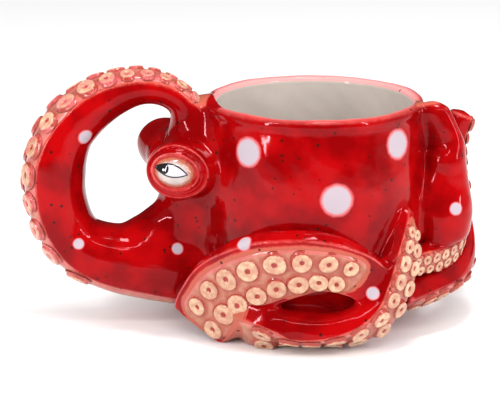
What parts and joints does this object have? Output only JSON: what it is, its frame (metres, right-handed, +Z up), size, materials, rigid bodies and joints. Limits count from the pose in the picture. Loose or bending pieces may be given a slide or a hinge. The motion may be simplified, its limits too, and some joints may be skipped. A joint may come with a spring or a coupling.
{
  "type": "mug",
  "caption": "Glazed ceramic drinking mug shaped as an octopus: a curled arm forms the handle, and suckered arms wrap round the foot of the cup.",
  "frame": {"origin": "centre of the foot's flat underside, on the cup's axis", "axes": "+Z up along the cup's axis, -X towards the handle and the face, +X towards the end where the arms climb the cup, -Y the near side"},
  "size_m": [0.1945, 0.1242, 0.1083],
  "materials": {
    "red_glaze": "high-gloss deep red glaze with fine dark specks, paler where it thins over edges",
    "pale_glaze": "glossy peach underglaze with a red-brown wash in the hollows, cream suckers",
    "eye_glaze": "glossy off-white glaze with a painted black pupil and outline"
  },
  "bodies": {
    "root": {"cup_body": "red_glaze", "head": "red_glaze", "near_eyelid": "red_glaze", "far_eyelid": "red_glaze", "near_eyeball": "eye_glaze", "far_eyeball": "eye_glaze", "handle_arm": "red_glaze", "handle_arm_suckers": "pale_glaze", "near_lower_arm": "red_glaze", "near_lower_arm_suckers": "pale_glaze", "near_upper_arm": "red_glaze", "near_upper_arm_suckers": "pale_glaze", "near_end_arm": "red_glaze", "near_end_arm_suckers": "pale_glaze", "end_arm": "red_glaze", "end_arm_suckers": "pale_glaze", "far_lower_arm": "red_glaze", "far_lower_arm_suckers": "pale_glaze", "far_upper_arm": "red_glaze", "far_upper_arm_suckers": "pale_glaze", "far_end_arm": "red_glaze", "far_end_arm_suckers": "pale_glaze"}
  },
  "joints": []
}
